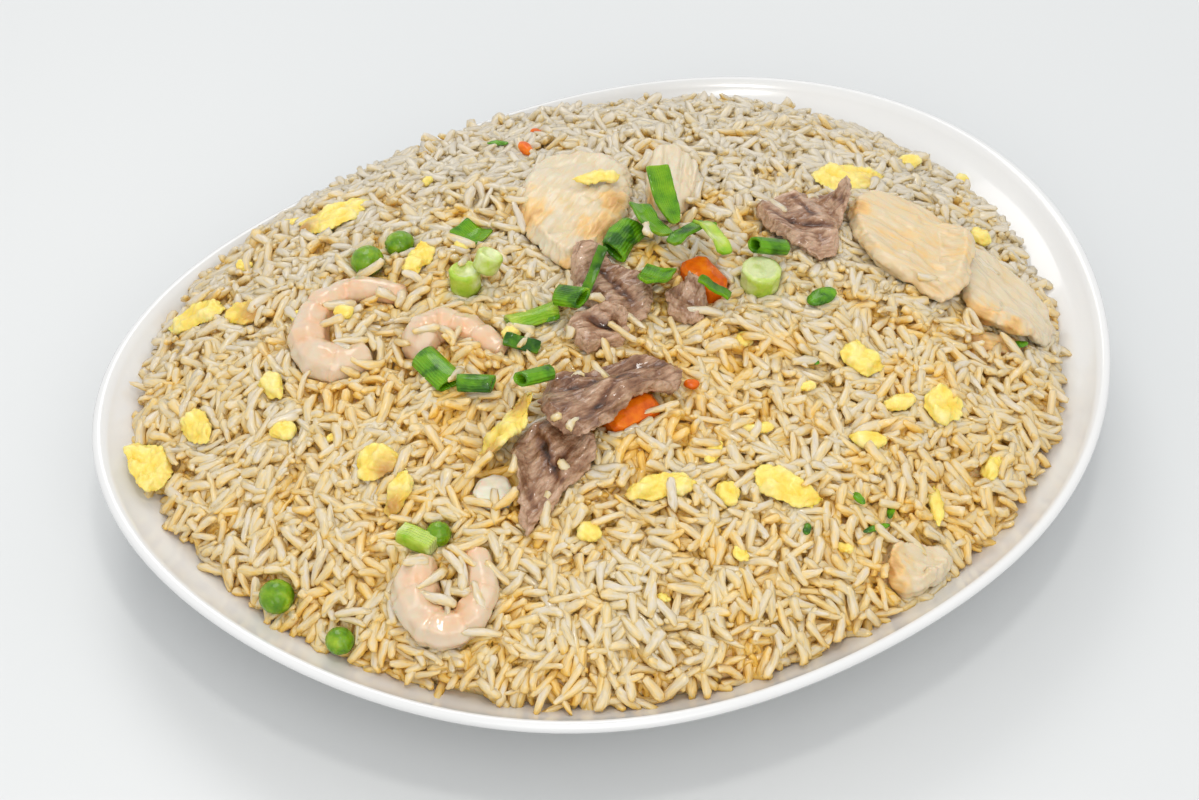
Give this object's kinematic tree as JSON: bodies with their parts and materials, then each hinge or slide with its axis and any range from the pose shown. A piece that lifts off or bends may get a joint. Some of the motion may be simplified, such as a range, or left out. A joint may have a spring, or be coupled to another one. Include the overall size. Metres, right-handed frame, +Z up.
{
  "type": "plate of fried rice",
  "caption": "White lopsided oval plate heaped with fried rice, topped with shrimp, chicken, beef, egg, peas, carrot, onion and green onion.",
  "frame": {"origin": "on the table under the middle of the plate's outline", "axes": "+X to the diner's right, along the plate's greatest width in that frame; +Y away from the diner; +Z up"},
  "size_m": [0.2667, 0.252, 0.0751],
  "materials": {
    "plate": "smooth white gloss glaze",
    "rice": "moist cooked grains tinted by soy sauce and oil, soft sheen",
    "shrimp": "moist, pale flesh with coral bands",
    "chicken": "moist fibrous meat with golden seared patches",
    "beef": "thin braised slices, grey brown with an oily sheen",
    "egg": "soft scrambled flakes, browned in places",
    "scallion": "fresh cut leaf, waxy, from dark green to pale stem",
    "pea": "cooked skin, waxy, lightly wrinkled",
    "carrot": "cooked, moist cut faces",
    "onion": "cooked, translucent and moist"
  },
  "bodies": {
    "root": {"beef_centre": "beef", "beef_curl": "beef", "beef_front": "beef", "beef_right": "beef", "beef_small": "beef", "beef_top": "beef", "carrot_back": "carrot", "carrot_front": "carrot", "chicken_end": "chicken", "chicken_fold": "chicken", "chicken_front": "chicken", "chicken_right": "chicken", "chicken_sliver": "chicken", "chicken_top": "chicken", "egg_back_left": "egg", "egg_back_right": "egg", "egg_behind_shrimp": "egg", "egg_browned": "egg", "egg_edge": "egg", "egg_folded": "egg", "egg_front_left": "egg", "egg_front_right": "egg", "egg_front_strip": "egg", "egg_hook": "egg", "egg_left": "egg", "egg_on_chicken": "egg", "egg_outer_left": "egg", "egg_right": "egg", "egg_small_left": "egg", "egg_strip_left": "egg", "onion": "onion", "pea_back": "pea", "pea_back_small": "pea", "pea_edge": "pea", "pea_front": "pea", "pea_shrimp": "pea", "plate": "plate", "rice": "rice", "scallion_bow": "scallion", "scallion_centre": "scallion", "scallion_cube": "scallion", "scallion_dark": "scallion", "scallion_dark_left": "scallion", "scallion_dark_right": "scallion", "scallion_half_ring": "scallion", "scallion_knot": "scallion", "scallion_leaf_high": "scallion", "scallion_leaf_low": "scallion", "scallion_long_slice": "scallion", "scallion_on_carrot": "scallion", "scallion_pale": "scallion", "scallion_pale_small": "scallion", "scallion_ring": "scallion", "scallion_stalk": "scallion", "scallion_tube_right": "scallion", "scallion_wedge": "scallion", "scallion_wide_tube": "scallion", "shrimp_front": "shrimp", "shrimp_left": "shrimp", "shrimp_middle": "shrimp"}
  },
  "joints": []
}
